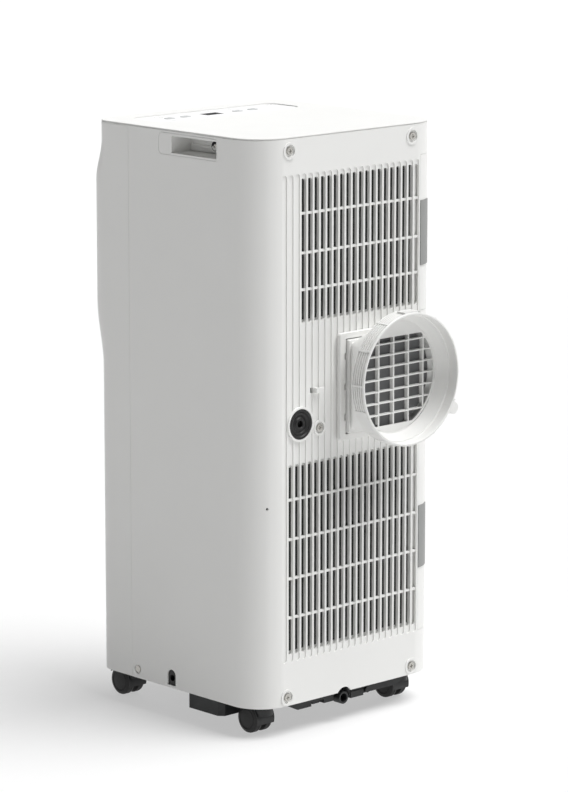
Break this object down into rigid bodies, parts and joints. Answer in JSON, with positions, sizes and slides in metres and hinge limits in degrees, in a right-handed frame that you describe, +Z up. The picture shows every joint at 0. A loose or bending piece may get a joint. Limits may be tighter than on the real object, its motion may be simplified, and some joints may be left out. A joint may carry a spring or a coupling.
{
  "type": "portable air conditioner",
  "caption": "Tall free-standing room cooler on twin-wheel casters, with fluted rear grilles, a round hose outlet, pull-out filters and a front louver.",
  "frame": {"origin": "on the floor under the centre of the overall box, hose ring included", "axes": "+Z up, -Y towards the front air outlet, +Y towards the hose outlet, +X to the right seen from the front"},
  "size_m": [0.284, 0.339, 0.676],
  "materials": {
    "white_case": "fine moulded ABS",
    "white_trim": "smooth moulded ABS",
    "panel_plastic": "polished ABS",
    "display_glass": "smoked window",
    "button_plastic": "satin moulded ABS",
    "circuit_board": "solder mask",
    "base_black": "moulded polypropylene",
    "tray_grey": "moulded polystyrene",
    "compressor_steel": "black enamel",
    "black_rubber": "moulded rubber",
    "fin_aluminium": "pressed fins",
    "copper_tube": "drawn copper tube",
    "scroll_plastic": "moulded polystyrene",
    "duct_grey": "moulded polypropylene",
    "wheel_plastic": "moulded polypropylene",
    "motor_steel": "zinc and enamel",
    "filter_mesh": "woven nylon mesh",
    "grip_grey": "soft grey moulding",
    "screw_steel": "nickel-plated steel",
    "caster_black": "moulded nylon",
    "tyre_black": "hard rubber tread"
  },
  "bodies": {
    "case": {"front_casing": "white_case", "rear_casing": "white_case", "rear_grille": "white_case", "top_cover": "white_case", "control_panel": "panel_plastic", "display_window": "display_glass", "control_board": "circuit_board", "handle_left": "white_case", "handle_right": "white_case", "base_pan": "base_black", "middle_tray": "tray_grey", "compressor": "compressor_steel", "compressor_grommets": "black_rubber", "evaporator_coil": "fin_aluminium", "condenser_coil": "fin_aluminium", "refrigerant_pipes": "copper_tube", "upper_scroll": "scroll_plastic", "upper_fan_motor": "motor_steel", "lower_scroll": "duct_grey", "lower_fan_motor": "motor_steel", "exhaust_frame": "white_trim", "drain_nozzle": "white_trim", "drain_spout": "base_black", "hose_hook": "white_trim", "cord_gland": "black_rubber", "casing_screws": "screw_steel", "outlet_frame": "white_trim", "louver_motor": "motor_steel"},
    "button_power": {"button_power": "button_plastic"},
    "button_mode": {"button_mode": "button_plastic"},
    "button_cooler": {"button_cooler": "button_plastic"},
    "button_warmer": {"button_warmer": "button_plastic"},
    "upper_blower": {"upper_blower_wheel": "wheel_plastic"},
    "lower_blower": {"lower_blower_wheel": "wheel_plastic"},
    "hose_adapter": {"exhaust_adapter": "white_trim", "exhaust_grid": "white_trim", "hose_ring": "white_trim"},
    "upper_filter": {"upper_filter_frame": "white_case", "upper_filter_mesh": "filter_mesh", "upper_filter_grip": "grip_grey"},
    "lower_filter": {"lower_filter_frame": "white_case", "lower_filter_mesh": "filter_mesh", "lower_filter_grip": "grip_grey"},
    "drain_plug": {"drain_plug": "black_rubber"},
    "louver": {"louver_blade": "white_case"},
    "vane_1": {"vane_1": "white_trim"},
    "vane_2": {"vane_2": "white_trim"},
    "vane_3": {"vane_3": "white_trim"},
    "vane_4": {"vane_4": "white_trim"},
    "vane_5": {"vane_5": "white_trim"},
    "rear_left_caster": {"caster_rear_left_fork": "caster_black"},
    "rear_left_wheels": {"caster_rear_left_wheels": "tyre_black"},
    "rear_right_caster": {"caster_rear_right_fork": "caster_black"},
    "rear_right_wheels": {"caster_rear_right_wheels": "tyre_black"},
    "front_left_caster": {"caster_front_left_fork": "caster_black"},
    "front_left_wheels": {"caster_front_left_wheels": "tyre_black"},
    "front_right_caster": {"caster_front_right_fork": "caster_black"},
    "front_right_wheels": {"caster_front_right_wheels": "tyre_black"}
  },
  "joints": [
    {"name": "press_power", "type": "slide", "parent": "case", "child": "button_power", "axis": [0, 0, -1], "range_m": [0, 0.001], "stiffness_N_per_m": 800, "springref_m": -0.0002},
    {"name": "press_mode", "type": "slide", "parent": "case", "child": "button_mode", "axis": [0, 0, -1], "range_m": [0, 0.001], "stiffness_N_per_m": 800, "springref_m": -0.0002},
    {"name": "press_cooler", "type": "slide", "parent": "case", "child": "button_cooler", "axis": [0, 0, -1], "range_m": [0, 0.001], "stiffness_N_per_m": 800, "springref_m": -0.0002},
    {"name": "press_warmer", "type": "slide", "parent": "case", "child": "button_warmer", "axis": [0, 0, -1], "range_m": [0, 0.001], "stiffness_N_per_m": 800, "springref_m": -0.0002},
    {"name": "upper_blower_spin", "type": "hinge", "parent": "case", "child": "upper_blower", "pos_m": [0, 0.0175, 0.534], "axis": [0, 1, 0], "continuous": true},
    {"name": "lower_blower_spin", "type": "hinge", "parent": "case", "child": "lower_blower", "pos_m": [0.028, 0.0175, 0.196], "axis": [0, 1, 0], "continuous": true},
    {"name": "adapter_pull", "type": "slide", "parent": "case", "child": "hose_adapter", "axis": [0, 1, 0], "range_m": [0, 0.06]},
    {"name": "upper_filter_slide", "type": "slide", "parent": "case", "child": "upper_filter", "axis": [-1, 0, 0], "range_m": [0, 0.25]},
    {"name": "lower_filter_slide", "type": "slide", "parent": "case", "child": "lower_filter", "axis": [-1, 0, 0], "range_m": [0, 0.25]},
    {"name": "drain_plug_pull", "type": "slide", "parent": "case", "child": "drain_plug", "axis": [0, 1, 0], "range_m": [0, 0.03]},
    {"name": "louver_swing", "type": "hinge", "parent": "case", "child": "louver", "pos_m": [0, -0.1635, 0.5295], "axis": [1, 0, 0], "range_deg": [0, 70]},
    {"name": "vane_1_turn", "type": "hinge", "parent": "case", "child": "vane_1", "pos_m": [-0.068, -0.1275, 0.558], "axis": [0, 0, 1], "range_deg": [-30, 30]},
    {"name": "vane_2_turn", "type": "hinge", "parent": "case", "child": "vane_2", "pos_m": [-0.034, -0.1275, 0.558], "axis": [0, 0, 1], "range_deg": [-30, 30]},
    {"name": "vane_3_turn", "type": "hinge", "parent": "case", "child": "vane_3", "pos_m": [0, -0.1275, 0.558], "axis": [0, 0, 1], "range_deg": [-30, 30]},
    {"name": "vane_4_turn", "type": "hinge", "parent": "case", "child": "vane_4", "pos_m": [0.034, -0.1275, 0.558], "axis": [0, 0, 1], "range_deg": [-30, 30]},
    {"name": "vane_5_turn", "type": "hinge", "parent": "case", "child": "vane_5", "pos_m": [0.068, -0.1275, 0.558], "axis": [0, 0, 1], "range_deg": [-30, 30]},
    {"name": "rear_left_swivel", "type": "hinge", "parent": "case", "child": "rear_left_caster", "pos_m": [-0.107, 0.083, 0.03], "axis": [0, 0, 1], "continuous": true},
    {"name": "rear_left_roll", "type": "hinge", "parent": "rear_left_caster", "child": "rear_left_wheels", "pos_m": [-0.107, 0.071, 0.0165], "axis": [1, 0, 0], "continuous": true},
    {"name": "rear_right_swivel", "type": "hinge", "parent": "case", "child": "rear_right_caster", "pos_m": [0.107, 0.083, 0.03], "axis": [0, 0, 1], "continuous": true},
    {"name": "rear_right_roll", "type": "hinge", "parent": "rear_right_caster", "child": "rear_right_wheels", "pos_m": [0.107, 0.071, 0.0165], "axis": [1, 0, 0], "continuous": true},
    {"name": "front_left_swivel", "type": "hinge", "parent": "case", "child": "front_left_caster", "pos_m": [-0.107, -0.136, 0.03], "axis": [0, 0, 1], "continuous": true},
    {"name": "front_left_roll", "type": "hinge", "parent": "front_left_caster", "child": "front_left_wheels", "pos_m": [-0.107, -0.148, 0.0165], "axis": [1, 0, 0], "continuous": true},
    {"name": "front_right_swivel", "type": "hinge", "parent": "case", "child": "front_right_caster", "pos_m": [0.107, -0.136, 0.03], "axis": [0, 0, 1], "continuous": true},
    {"name": "front_right_roll", "type": "hinge", "parent": "front_right_caster", "child": "front_right_wheels", "pos_m": [0.107, -0.148, 0.0165], "axis": [1, 0, 0], "continuous": true}
  ],
  "couplings": [
    {"joint": "vane_2_turn", "follows": "vane_1_turn", "ratio": 1},
    {"joint": "vane_3_turn", "follows": "vane_1_turn", "ratio": 1},
    {"joint": "vane_4_turn", "follows": "vane_1_turn", "ratio": 1},
    {"joint": "vane_5_turn", "follows": "vane_1_turn", "ratio": 1}
  ]
}
